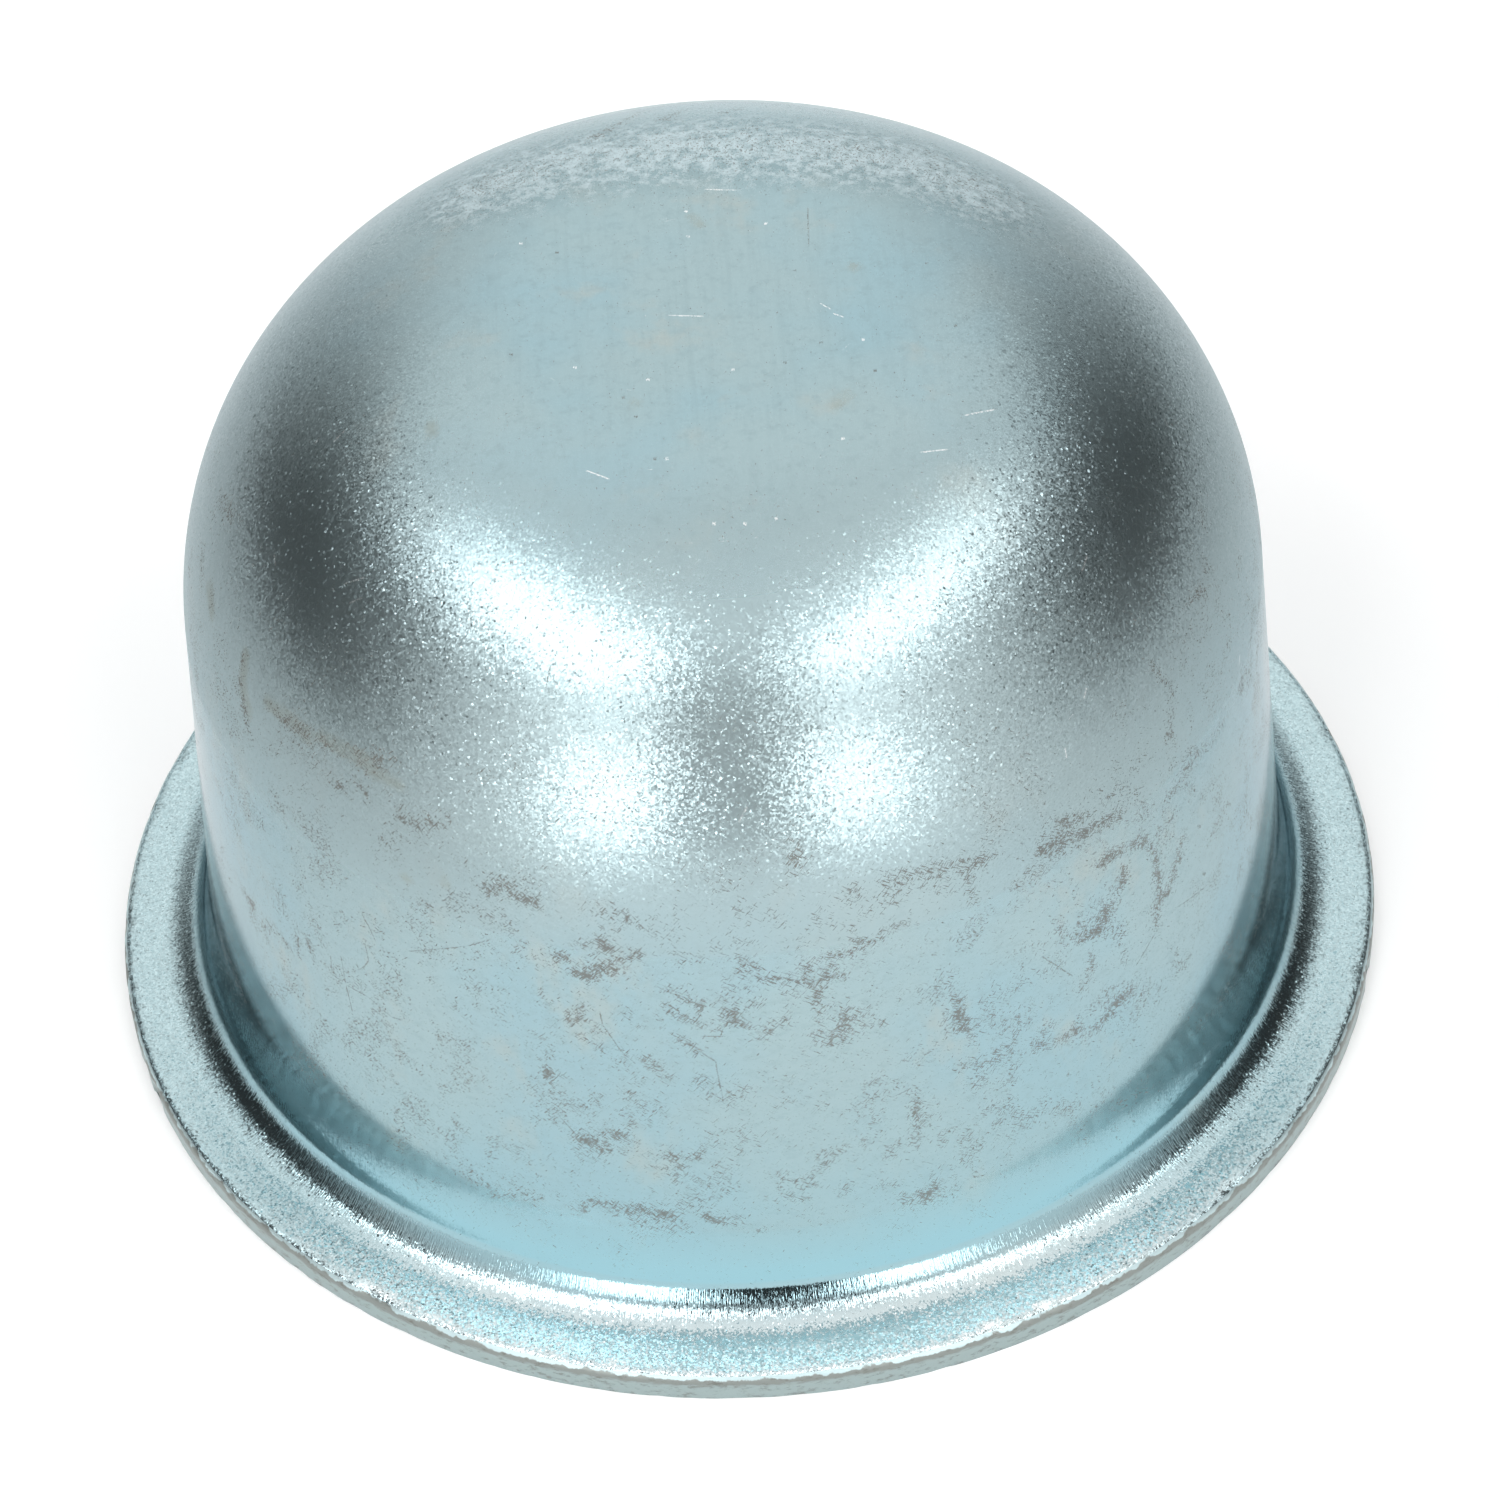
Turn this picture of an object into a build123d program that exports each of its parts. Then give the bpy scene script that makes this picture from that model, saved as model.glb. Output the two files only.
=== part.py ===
from build123d import *
import os
from math import radians, tan

# Hub grease cap: one cup deep drawn from flat steel strip. Its wall leans in towards the crown
# and flares a little at its foot, and its flange is trimmed to a round rim. The cap stands on
# the underside of the flange, and its axis is Z.

# Driving dimensions, in millimetres and degrees
rim_diameter = 50.0        # trimmed edge of the flange, which is driven into the hub
cap_height = 31.3          # underside of the flange to the top of the crown
sheet = 1.25               # gauge of the strip, the same all over the cap
flange_width = 3.0         # rim to the foot of the wall, taken without the bend between them
flare_height = 2.8         # top of the flange to the level where the wall begins to flare
flare_angle = 16.5         # lean of the flared foot, from the axis
wall_draft = 4.2           # lean of the wall above the flare, from the axis
nose_radius = 13.5         # outside of the bend between the crown and the wall
flare_radius = 8.0         # outside of the bend between the wall and the flared foot
root_radius = 1.8          # outside of the bend between the flared foot and the flange
die_roll = 0.35            # rounding that the trimming die leaves on the rim's upper edge

rim_radius = rim_diameter / 2
flange_top = sheet
foot_radius = rim_radius - flange_width
flare_level = flange_top + flare_height
wall_foot_radius = foot_radius - flare_height * tan(radians(flare_angle))
crown_radius = wall_foot_radius - (cap_height - flare_level) * tan(radians(wall_draft))

# Half of the section: the outer skin runs from the crown's middle to the rim, and the strip's
# gauge is laid off on its inner side. Turned about the axis, it is the cup with its flange.
with BuildPart() as grease_cap:
    with BuildSketch(Plane.XZ):
        with BuildLine():
            FilletPolyline(
                (0, cap_height),
                (crown_radius, cap_height),
                (wall_foot_radius, flare_level),
                (foot_radius, flange_top),
                (rim_radius, flange_top),
                radius=(nose_radius, flare_radius, root_radius),
            )
            offset(amount=sheet, side=Side.RIGHT)
        make_face()
    revolve(axis=Axis.Z)
    rim_edges = grease_cap.edges().filter_by(GeomType.CIRCLE).group_by(SortBy.RADIUS)[-1]
    fillet(rim_edges.sort_by(Axis.Z)[-1], radius=die_roll)

grease_cap.part.label = "grease_cap"
os.makedirs("parts", exist_ok=True)
export_step(grease_cap.part, "parts/grease_cap.step")
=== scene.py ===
# %% [markdown]
# A hub grease cap is one cup of drawn steel, zinc plated. The solid part comes in as a fixed frame
# at its real size, in metres, standing on its flange with its axis on Z. Everything is built round
# that frame, so the first step is to load it and keep its box.

# %% Load the cap
import math

import bpy
import numpy as np
from mathutils import Matrix, Quaternion, Vector, bvhtree, noise


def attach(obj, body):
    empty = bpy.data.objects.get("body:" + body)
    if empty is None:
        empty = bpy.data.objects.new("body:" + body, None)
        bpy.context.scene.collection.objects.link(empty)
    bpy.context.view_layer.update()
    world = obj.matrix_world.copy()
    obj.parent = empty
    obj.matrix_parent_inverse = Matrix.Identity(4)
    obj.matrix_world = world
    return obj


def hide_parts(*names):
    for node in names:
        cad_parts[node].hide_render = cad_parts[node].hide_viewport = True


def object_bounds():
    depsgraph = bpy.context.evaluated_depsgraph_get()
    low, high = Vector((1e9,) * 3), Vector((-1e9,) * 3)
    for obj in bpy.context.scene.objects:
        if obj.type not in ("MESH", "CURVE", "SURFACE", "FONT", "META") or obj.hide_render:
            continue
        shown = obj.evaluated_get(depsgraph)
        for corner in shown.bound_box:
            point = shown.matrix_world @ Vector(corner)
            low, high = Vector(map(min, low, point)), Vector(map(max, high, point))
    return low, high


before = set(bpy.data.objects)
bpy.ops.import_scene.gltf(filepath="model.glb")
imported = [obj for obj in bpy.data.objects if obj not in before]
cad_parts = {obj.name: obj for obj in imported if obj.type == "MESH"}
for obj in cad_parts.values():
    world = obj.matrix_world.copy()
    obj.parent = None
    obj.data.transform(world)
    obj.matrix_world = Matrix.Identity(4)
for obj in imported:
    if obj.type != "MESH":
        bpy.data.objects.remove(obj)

MM = 0.001
scene = bpy.context.scene
scene.view_settings.view_transform = "Standard"
solid_low, solid_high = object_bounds()
rim_radius = (solid_high[0] - solid_low[0]) / 2
cap_height = solid_high[2] - solid_low[2]
print(f"cap: rim {2 * rim_radius / MM:.1f} mm across, {cap_height / MM:.1f} mm high")

# %% [markdown]
# The camera looks down on the cap at about 47 degrees from close by, so the crown looks large and
# the flange small. A longer lens from further off would give the same size of picture with a
# flatter shape. The camera is also turned a little about its own line of sight, which is why the
# flange seems to drop to the left.

# %% Camera
PHOTO_PIXELS = 1500
FOCAL_PIXELS = 4498
camera_distance = 7.254 * rim_radius
camera_elevation = math.radians(47.23)
camera_roll = math.radians(-4.28)
aim = Vector((0.53 * MM, 0, 8.21 * MM))
eye = camera_distance * Vector((0, -math.cos(camera_elevation), math.sin(camera_elevation)))

camera = bpy.data.objects.new("camera", bpy.data.cameras.new("camera"))
camera.data.lens = camera.data.sensor_width * FOCAL_PIXELS / PHOTO_PIXELS
camera.location = eye
camera.rotation_mode = "QUATERNION"
camera.rotation_quaternion = (aim - eye).to_track_quat("-Z", "Y") @ Quaternion((0, 0, 1), camera_roll)
scene.collection.objects.link(camera)
scene.camera = camera


def sight(pixel):
    """Direction of the line of sight through a pixel of the photograph."""
    half = PHOTO_PIXELS / 2
    ray = Vector(((pixel[0] - half) / FOCAL_PIXELS, (half - pixel[1]) / FOCAL_PIXELS, -1))
    return camera.rotation_quaternion @ ray


print(f"camera: {camera.data.lens:.1f} mm lens, {(aim - eye).length / MM:.0f} mm from the cap")

# %% [markdown]
# Every material below is a small net of nodes, so one helper makes a node, sets its options and
# fills its sockets. A value that is itself a socket is linked, and anything else is written in.

# %% Helpers for materials
# A Mix node's sockets for colours share their names with its other sockets, so they go by number
MIX_FIRST = 6
MIX_SECOND = 7
MIX_COLOUR = 2


def material_of(name):
    """A new material, with its net of nodes and its shader."""
    made = bpy.data.materials.new(name)
    made.use_nodes = True
    return made, made.node_tree, made.node_tree.nodes["Principled BSDF"]


def node(tree, kind, inputs=None, **options):
    """A shader node of that kind; inputs holds what goes in each socket, a number or another socket."""
    made = tree.nodes.new("ShaderNode" + kind)
    for name, value in options.items():
        setattr(made, name, value)
    for name, value in (inputs or {}).items():
        if isinstance(value, bpy.types.NodeSocket):
            tree.links.new(value, made.inputs[name])
        else:
            made.inputs[name].default_value = value
    return made


def math_of(tree, operation, a, b=0.0):
    """One sum on two values, as a socket."""
    return node(tree, "Math", {0: a, 1: b}, operation=operation).outputs["Value"]


def times(tree, a, b):
    """Two values multiplied."""
    return math_of(tree, "MULTIPLY", a, b)


def plus(tree, value, part, share):
    """The value with that share of the part added to it."""
    return math_of(tree, "ADD", value, times(tree, part, share))


def ramp(tree, value, low, high, to_low=0.0, to_high=1.0):
    """Value carried smoothly from low..high to to_low..to_high, and held at the ends."""
    inputs = {"Value": value, "From Min": low, "From Max": high, "To Min": to_low, "To Max": to_high}
    return node(tree, "MapRange", inputs, interpolation_type="SMOOTHSTEP").outputs["Result"]


def blend(tree, share, first, second):
    """First colour where share is 0, second where it is 1."""
    inputs = {"Factor": share, MIX_FIRST: first, MIX_SECOND: second}
    return node(tree, "Mix", inputs, data_type="RGBA").outputs[MIX_COLOUR]


# %% [markdown]
# Bare metal has little light and shade of its own: it shows the room. So the room is built first.
# It is a white studio with an even white world, a sheet of white paper on the table, and cards
# that stand round the table. The world comes first, with the finish that all the cards share: a
# card glows by a value that is kept in its own points.

# %% White room
ROOM_LEVEL = 1.04

world = bpy.data.worlds.new("white room")
world.use_nodes = True
world.node_tree.nodes["Background"].inputs["Color"].default_value = (1, 1, 1, 1)
world.node_tree.nodes["Background"].inputs["Strength"].default_value = ROOM_LEVEL
scene.world = world

card_glow, tree, _ = material_of("card glow")
card_glow.cycles.emission_sampling = "NONE"
tree.nodes.clear()
glow_value = node(tree, "Attribute", attribute_name="glow").outputs["Fac"]
glow = node(tree, "Emission", {"Strength": glow_value}).outputs["Emission"]
node(tree, "OutputMaterial", {"Surface": glow})
print(f"room: white, at a level of {ROOM_LEVEL}")

# %% [markdown]
# A card is a piece of a globe round the middle of the cap's nose, so it is given by the angles at
# which it stands. Its glow fades at its edges to the level of the room, so no card shows a hard
# border in the metal. Cards are hidden from the camera and show only as light and as reflections.

# %% Making a card
CARD_STEPS = 20
nose_middle = Vector((0, 0, 0.57 * cap_height))


def smoothstep(x):
    """0 below 0, 1 above 1, and an even curve between."""
    x = np.clip(x, 0.0, 1.0)
    return x * x * (3 - 2 * x)


def card(name, azimuths, elevations, level, fades, distance):
    """A curved card round the table. Azimuth 0 is the camera's side and 90 the right, in degrees.

    It glows at level in its middle and at the room's level at its edges. The four fades are the
    degrees that takes at its first and last side and at its foot and top.
    """
    points, glows, faces = [], [], []
    for i in range(CARD_STEPS + 1):
        azimuth = azimuths[0] + (azimuths[1] - azimuths[0]) * i / CARD_STEPS
        first, last = abs(azimuth - azimuths[0]) / fades[0], abs(azimuth - azimuths[1]) / fades[1]
        sides = smoothstep(first) * smoothstep(last)
        for j in range(CARD_STEPS + 1):
            elevation = elevations[0] + (elevations[1] - elevations[0]) * j / CARD_STEPS
            foot, top = (elevation - elevations[0]) / fades[2], (elevations[1] - elevation) / fades[3]
            a, e = math.radians(azimuth), math.radians(elevation)
            ray = Vector((math.sin(a) * math.cos(e), -math.cos(a) * math.cos(e), math.sin(e)))
            points.append(nose_middle + distance * ray)
            glows.append(ROOM_LEVEL + (level - ROOM_LEVEL) * sides * smoothstep(foot) * smoothstep(top))
            if i < CARD_STEPS and j < CARD_STEPS:
                k = i * (CARD_STEPS + 1) + j
                faces.append((k, k + 1, k + CARD_STEPS + 2, k + CARD_STEPS + 1))
    mesh = bpy.data.meshes.new(name)
    mesh.from_pydata(points, [], faces)
    mesh.attributes.new("glow", "FLOAT", "POINT").data.foreach_set("value", glows)
    mesh.materials.append(card_glow)
    piece = bpy.data.objects.new(name, mesh)
    piece.visible_camera = False
    scene.collection.objects.link(piece)


# %% [markdown]
# The bright cards are a pair of softboxes overhead, a pair of upright strip lights and a pale card
# behind, and they give the metal its highlights. The dark ones are the black flags that a
# photographer puts beside shiny metal to draw its edges, and the shade of the camera itself between
# the strips. The flags stand close to the cap, and the rest stands about half a metre off.

# %% Cards round the table
BLACK_LEVEL = 0.05
SOFTBOX_LEVEL = 4.5
STRIP_LEVEL = 4.8
BEHIND_LEVEL = 1.16
flag_distance = 0.17
flag_foot = 1.5 - math.degrees(math.asin(nose_middle.z / flag_distance))

for side, turn, reach, top in (("left", -1, 114, 65), ("right", 1, 112, 61)):
    card(f"black flag {side}", azimuths=(turn * 46, turn * 172), elevations=(flag_foot, 45),
         level=BLACK_LEVEL, fades=(42, 60, 4, 13), distance=flag_distance)
    card(f"overhead softbox {side}", azimuths=(turn * 6, turn * reach), elevations=(38, top),
         level=SOFTBOX_LEVEL, fades=(18, 44, 9, 10), distance=0.50)
card("strip light left", azimuths=(-37, -12), elevations=(-6, 35),
     level=STRIP_LEVEL, fades=(9, 6, 4, 12), distance=0.48)
card("strip light right", azimuths=(8, 33), elevations=(-6, 35),
     level=STRIP_LEVEL, fades=(5, 9, 4, 12), distance=0.48)
card("camera shade", azimuths=(-16, 14), elevations=(-9, 68),
     level=BLACK_LEVEL, fades=(6, 6, 4, 14), distance=0.46)
card("white card behind", azimuths=(120, 240), elevations=(0, 78),
     level=BEHIND_LEVEL, fades=(25, 25, 10, 15), distance=0.52)
print("cards: flags, strip lights, softboxes and the camera's shade are up")

# %% [markdown]
# The table is a sheet of white paper. Paper scatters light, so the cap throws a soft shadow on it.
# Camera rays and reflections get a little extra white from it, which is how an overexposed white
# ground looks; diffuse light doesn't, so the paper doesn't light the cap any more than it should.
# The camera finds more of it further off, where the black flags shade the paper. Reflections find
# it in a lane that widens to the back, and past it they show the paper's own tone. The paper has a
# hole under the cap and is clear from below, so the cap's open mouth can be looked into.

# %% Paper
PAPER_RADIUS = 0.45
PAPER_STEPS = 96
PAPER_WHITE = (0.86, 0.86, 0.86, 1)
PAPER_BOOST = 0.22
PAPER_BOOST_FAR = 0.60
LANE_WIDENING = 0.17
lane_edge = 1.06 * rim_radius
lane_front = -2.0 * rim_radius
lane_fade = 0.7 * rim_radius
boost_near = 2 * rim_radius
boost_far = 5 * rim_radius
paper_hole = rim_radius - 0.3 * MM

paper_mesh = bpy.data.meshes.new("paper")
paper_points = []
for radius in (paper_hole, PAPER_RADIUS):
    for i in range(PAPER_STEPS):
        turned = 2 * math.pi * i / PAPER_STEPS
        paper_points.append((radius * math.cos(turned), radius * math.sin(turned), solid_low[2]))
steps = [(i, (i + 1) % PAPER_STEPS) for i in range(PAPER_STEPS)]
paper_mesh.from_pydata(paper_points, [], [(i, PAPER_STEPS + i, PAPER_STEPS + j, j) for i, j in steps])
paper = bpy.data.objects.new("paper", paper_mesh)
scene.collection.objects.link(paper)

white_paper, tree, _ = material_of("white paper")
tree.nodes.clear()
rays = node(tree, "LightPath").outputs
mirrored = math_of(tree, "MAXIMUM", rays["Is Glossy Ray"], rays["Is Transmission Ray"])
place = node(tree, "TexCoord").outputs["Object"]
spot = node(tree, "SeparateXYZ", {"Vector": place}).outputs
widening = times(tree, math_of(tree, "MAXIMUM", spot["Y"], 0.0), LANE_WIDENING)
across = math_of(tree, "SUBTRACT", math_of(tree, "ABSOLUTE", spot["X"]), widening)
lane = ramp(tree, across, lane_edge, lane_edge + lane_fade, PAPER_BOOST, 0.0)
ahead = ramp(tree, spot["Y"], lane_front - 2 * lane_fade, lane_front)
in_mirrors = times(tree, mirrored, times(tree, lane, ahead))
away = node(tree, "VectorMath", {0: place}, operation="LENGTH").outputs["Value"]
wide = ramp(tree, away, boost_near, boost_far, PAPER_BOOST, PAPER_BOOST_FAR)
in_camera = times(tree, rays["Is Camera Ray"], wide)
boost = node(tree, "Emission", {"Strength": math_of(tree, "ADD", in_mirrors, in_camera)})
matt = node(tree, "BsdfDiffuse", {"Color": PAPER_WHITE})
upper = node(tree, "AddShader", {0: matt.outputs[0], 1: boost.outputs[0]})
underneath = node(tree, "NewGeometry").outputs["Backfacing"]
clear = node(tree, "BsdfTransparent")
both = node(tree, "MixShader", {0: underneath, 1: upper.outputs[0], 2: clear.outputs[0]})
node(tree, "OutputMaterial", {"Surface": both.outputs[0]})
paper_mesh.materials.append(white_paper)
print(f"paper: {2 * PAPER_RADIUS:.1f} m across")

# %% [markdown]
# A press draws the cup from flat strip, so its section is one line of even gauge: the flat crown,
# a large bend called the nose, the leaning wall, a slight flare at the wall's foot, a tight bend
# and the flange. The trimming die then shears the rim, which leaves a rounded upper edge, the die
# roll, and a raw cut face below it. The line is laid out as corners with bends, and it carries its
# outward normal, so the inner skin is the same line set in by the gauge.

# %% Section
sheet = 1.25 * MM
flange_width = 3 * MM
flare_height = 2.8 * MM
flare_lean = math.tan(math.radians(16.5))
wall_lean = math.tan(math.radians(4.2))
nose_bend = 13.5 * MM
flare_bend = 8 * MM
root_bend = 1.8 * MM
die_roll = 0.35 * MM
burr_bend = 0.06 * MM

foot_radius = rim_radius - flange_width
flare_level = sheet + flare_height
wall_foot_radius = foot_radius - flare_height * flare_lean
crown_radius = wall_foot_radius - (cap_height - flare_level) * wall_lean

corners = [
    (0, cap_height),
    (crown_radius, cap_height),
    (wall_foot_radius, flare_level),
    (foot_radius, sheet),
    (rim_radius, sheet),
    (rim_radius, 0),
    (rim_radius - die_roll, 0),
]
bends = [nose_bend, flare_bend, root_bend, die_roll, burr_bend]
stretches = {
    "crown": 12,
    "nose": 50,
    "wall": 40,
    "flare": 8,
    "foot": 3,
    "root": 18,
    "flange": 4,
    "die roll": 7,
    "cut face": 8,
    "burr": 3,
    "underside": 1,
}


def bent_line(corners, bends, stretches):
    """Rings along a line with rounded corners: (radius, height, normal out, normal up, stretch, share)."""
    names = iter(stretches)
    rings = [(0.0, cap_height, 0.0, 1.0, "crown", 0.0)]
    start = Vector(corners[0])
    for i, bend in enumerate([*bends, 0.0]):
        corner = Vector(corners[i + 1])
        ahead = (corner - start).normalized()
        out = Vector((-ahead.y, ahead.x))
        turn = 0.0
        if bend:
            after = Vector(corners[i + 2]) - corner
            turn = math.atan2(ahead.x * after.y - ahead.y * after.x, ahead.dot(after))
        entry = corner - ahead * bend * math.tan(abs(turn) / 2)
        name = next(names)
        for k in range(1, stretches[name] + 1):
            share = k / stretches[name]
            rings.append((*start.lerp(entry, share), *out, name, share))
        start = entry
        if bend:
            side = -math.copysign(bend, turn)
            centre = entry - side * out
            name = next(names)
            for k in range(1, stretches[name] + 1):
                share = k / stretches[name]
                normal = Matrix.Rotation(turn * share, 2) @ out
                rings.append((*(centre + side * normal), *normal, name, share))
            start = centre + side * normal
    return rings


outer_rings = bent_line(corners, bends, stretches)
drawn_names = ("crown", "nose", "wall", "flare", "foot", "root", "flange")
drawn_rings = [r for r in outer_rings if r[4] in drawn_names]
print(f"section: {len(outer_rings)} rings, wall foot {2 * wall_foot_radius / MM:.1f} mm across")

# %% [markdown]
# Shearing tears the steel, so the rim isn't a clean circle: it is set in a little all round with
# fine noise, and further in a few places where the edge broke away. Those places are found in the
# photograph, and a line of sight through each one is followed to the level of the edge.

# %% Breaks in the rim
RIM_TEAR = 0.05 * MM
tear_size = 0.9 * MM

# Each break in the rim: its pixel, its level on the edge, half its length and its depth
rim_breaks = {
    "first bite on the left": ((151, 1070), 0.0, 0.55 * MM, 0.10 * MM),
    "second bite on the left": ((163, 1099), 0.0, 0.50 * MM, 0.19 * MM),
    "bite on the right": ((1367, 978), 0.0, 0.42 * MM, 0.18 * MM),
    "chip on the near left": ((372, 1290), sheet, 0.50 * MM, 0.16 * MM),
    "small chip on the near left": ((386, 1301), sheet, 0.35 * MM, 0.10 * MM),
    "chip on the near right": ((1053, 1317), sheet, 0.40 * MM, 0.10 * MM),
    "second chip on the near right": ((997, 1337), sheet, 0.40 * MM, 0.09 * MM),
    "chip on the right": ((1236, 1186), sheet, 0.45 * MM, 0.10 * MM),
}


def rim_spot(pixel, level):
    """Where the line of sight through a pixel passes that level, as a point on the rim."""
    ray = sight(pixel)
    spot = eye + ray * ((level - eye.z) / ray.z)
    return Vector((spot.x, spot.y)).normalized() * rim_radius


broken = [(rim_spot(pixel, level), level, *sizes) for pixel, level, *sizes in rim_breaks.values()]


def rim_depth(turned, height):
    """How far the rim is set in there by tearing and by the breaks."""
    depth = RIM_TEAR * max(0.0, noise.noise((turned * rim_radius + Vector((0, 0, height))) / tear_size))
    for spot, level, half, most in broken:
        away = (turned.xy * rim_radius - spot).length / half
        fade = 1 - abs(height - level) / sheet
        depth = max(depth, most * max(0.0, 1 - away * away) * fade)
    return depth


print(f"rim: {len(broken)} breaks, up to {max(most for *_, most in broken) / MM:.2f} mm deep")

# %% [markdown]
# The cap's mesh is the section turned about Z, as a closed shell: outside, rim, underside and
# inside. Drawing never leaves a perfect surface of revolution, and polished metal shows the least
# wave, so the nose and wall are set in by about a hundredth of a millimetre with slow noise. The
# rim gets its tears and breaks. Points only move into the metal, so none leaves the solid's box.

# %% Cup mesh
AROUND = 500
INSIDE_EVERY = 4
WALL_WAVE = 0.012 * MM
wave_size = 9 * MM
cut_names = ("die roll", "cut face", "burr")
waved_names = ("nose", "wall", "flare")

rings = [(*ring, True) for ring in outer_rings[1:]]
for radius, height, out, up, name, share in reversed(drawn_rings[1::INSIDE_EVERY]):
    rings.append((radius - out * sheet, height - up * sheet, -out, -up, name, share, False))
bearings = [2 * math.pi * i / AROUND - math.pi / 2 for i in range(AROUND)]

points = [Vector((0, 0, cap_height))]
for radius, height, out, up, name, *_ in rings:
    for bearing in bearings:
        turned = Vector((math.cos(bearing), math.sin(bearing), 0))
        place = turned * radius + Vector((0, 0, height))
        depth = 0.0
        if name in cut_names:
            depth = rim_depth(turned, height)
        elif name in waved_names:
            depth = WALL_WAVE * (0.5 + 0.5 * noise.noise(place / wave_size))
        points.append(place - (turned * out + Vector((0, 0, up))) * depth)
points.append(Vector((0, 0, cap_height - sheet)))

faces = [(0, 1 + i, 1 + (i + 1) % AROUND) for i in range(AROUND)]
for k in range(len(rings) - 1):
    upper, lower = 1 + k * AROUND, 1 + (k + 1) * AROUND
    for i in range(AROUND):
        j = (i + 1) % AROUND
        faces.append((upper + i, lower + i, lower + j, upper + j))
tail = 1 + (len(rings) - 1) * AROUND
faces += [(len(points) - 1, tail + (i + 1) % AROUND, tail + i) for i in range(AROUND)]

cup_mesh = bpy.data.meshes.new("drawn_cup")
cup_mesh.from_pydata(points, [], faces)
cup_mesh.shade_smooth()
cup = bpy.data.objects.new("drawn_cup", cup_mesh)
scene.collection.objects.link(cup)
print(f"cup: {len(points)} points, {sum(len(f) - 2 for f in faces)} triangles")

# %% [markdown]
# Each stretch left the press with its own skin. The crown was held flat under the punch and stayed
# smooth, and still shows the lines of the rolled strip. The nose was stretched in the air, which
# roughens steel into a fine sparkling peel. The wall was ironed smooth by the die, and its foot was
# wiped hard, so it is the clearest mirror. The root and flange were dragged over the die's edge
# and clamped, and kept a frosted grain. Each kind of skin is a few weights along each stretch.

# %% Skin of each stretch
profiles = {
    "grain": {
        "crown": (0.10, 0.16),
        "nose": (0.16, 0.5, 0.9, 1.0, 1.2, 1.2),
        "wall": (0.8, 0.13, 0.10, 0.10, 0.08, 0.06),
        "flare": (0.08, 0.20),
        "foot": (0.22, 0.16),
        "root": (0.12, 0.3, 1.0, 2.2),
        "flange": (2.6, 2.6),
        "die roll": (2.6, 2.6),
    },
    "satin": {
        "crown": (0.24, 0.24),
        "nose": (0.24, 0.26, 0.29, 0.31, 0.33),
        "wall": (0.26, 0.15, 0.13, 0.12, 0.11),
        "flare": (0.11, 0.13),
        "foot": (0.12, 0.09),
        "root": (0.07, 0.07, 0.09, 0.24),
        "flange": (0.30, 0.30),
        "die roll": (0.26, 0.26),
    },
    "draw_lines": {
        "wall": (0.05, 0.15),
        "flare": (0.2, 0.3),
        "foot": (0.3, 0.3),
        "root": (0.3, 1.0, 1.0, 0.3),
    },
    "rolled": {
        "crown": (1.0, 1.0),
        "nose": (1.0, 0.3, 0.0, 0.0),
    },
    "peeled": {
        "nose": (0.0, 0.3, 0.8, 1.0, 0.9, 0.5),
        "wall": (0.3, 0.0, 0.0, 0.0, 0.0, 0.0),
    },
    "frost": {
        "root": (0.0, 0.0, 0.5, 0.9),
        "flange": (1.0, 1.0),
        "die roll": (0.7, 0.0),
    },
    "blued": {
        "wall": (0.0, 0.0, 0.0, 0.1, 0.3),
        "flare": (0.4, 0.9),
        "foot": (1.0, 1.0),
        "root": (0.6, 0.1, 0.0),
    },
    "worn": {
        "crown": (0.2, 0.2),
        "nose": (0.2, 0.2, 0.3, 0.7, 1.1),
        "wall": (1.0, 1.0),
        "flare": (0.8, 0.5),
        "foot": (0.3, 0.2),
        "root": (0.2, 0.2),
        "flange": (0.3, 0.3),
    },
}
print("skin:", ", ".join(profiles))

# %% [markdown]
# A mesh can keep any number with each of its points, and a material can read it back under its
# name. So the weights are worked out for each ring of the outside and kept there. The points also
# keep where they lie on the section unrolled: round the rim, and how far down from the crown.

# %% Skin on the points


def along(profile, name, share):
    """The weight of a stretch at a share of its length."""
    values = profile.get(name, (0.0,))
    return float(np.interp(share, np.linspace(0, 1, len(values)), values))


def keep(name, values):
    """Keep one value for each point of the cup."""
    cup_mesh.attributes.new(name, "FLOAT", "POINT").data.foreach_set("value", values)


for skin, profile in profiles.items():
    ring_values = [along(profile, r[4], r[5]) if r[6] else 0.0 for r in rings]
    keep(skin, [ring_values[0], *np.repeat(ring_values, AROUND), ring_values[-1]])

walk = np.cumsum([0.0] + [math.dist(a[:2], b[:2]) for a, b in zip(rings, rings[1:])])
unrolled = np.zeros((len(points), 3), np.float32)
unrolled[1:-1, 0] = np.tile(rim_radius * np.cos(bearings), len(rings))
unrolled[1:-1, 1] = np.tile(rim_radius * np.sin(bearings), len(rings))
unrolled[1:-1, 2] = np.repeat(walk, AROUND)
cup_mesh.attributes.new("unrolled", "FLOAT_VECTOR", "POINT").data.foreach_set("vector", unrolled.ravel())
print(f"skin: {len(profiles)} weights along {walk[-1] / MM:.0f} mm of section")

# %% [markdown]
# Parts like this are tumbled and thrown in bins, so the plating is scuffed. The marks that show
# are placed by where they lie in the photograph, as short paths of pixels. Scuffs come first, and
# they hold soil.

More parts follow.
